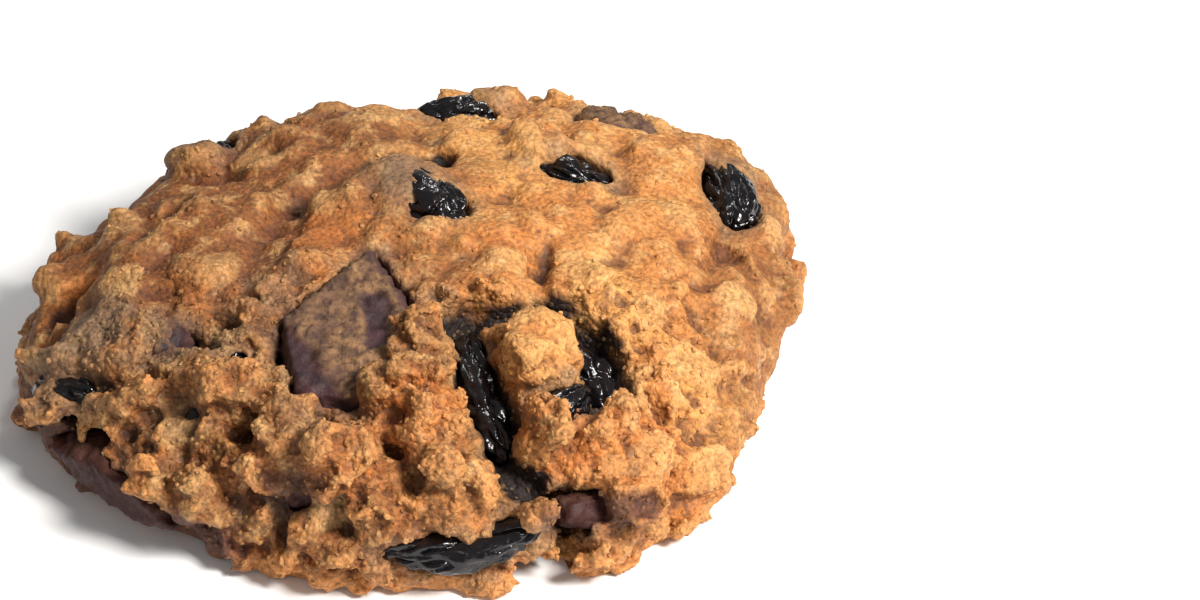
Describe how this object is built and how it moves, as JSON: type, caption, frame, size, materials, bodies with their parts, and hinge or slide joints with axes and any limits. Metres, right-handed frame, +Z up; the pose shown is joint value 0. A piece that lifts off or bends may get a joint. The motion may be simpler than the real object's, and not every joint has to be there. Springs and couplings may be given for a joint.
{
  "type": "oatmeal raisin cookie",
  "caption": "Thick domed round oatmeal cookie with a craggy browned crust, raisins and dark chocolate chunks showing in it, and a flat base.",
  "frame": {"origin": "middle of the flat base, under the middle of the bounding box", "axes": "+Z up through the dome, +X to the right and +Y away as one looks at the front"},
  "size_m": [0.0834, 0.082, 0.0216],
  "materials": {
    "dough": "baked oat dough: matte, craggy and crumbly, golden tan with browner peaks and paler oat flakes",
    "raisin": "wrinkled near-black fruit skin with a moist gloss",
    "chocolate": "dark chocolate, dull purple brown with a dusting of crumb"
  },
  "bodies": {
    "root": {"cookie": "dough", "raisin_crescent": "raisin", "raisin_ring_left": "raisin", "raisin_ring_right": "raisin", "raisin_under_clump": "raisin", "raisin_front_rim": "raisin", "raisin_left_pit": "raisin", "raisin_left_small": "raisin", "raisin_left_edge": "raisin", "raisin_back_left": "raisin", "raisin_back": "raisin", "raisin_back_right": "raisin", "raisin_top_right": "raisin", "chocolate_top": "chocolate", "chocolate_low": "chocolate", "chocolate_left": "chocolate", "chocolate_rim": "chocolate", "chocolate_front": "chocolate", "chocolate_back": "chocolate"}
  },
  "joints": []
}
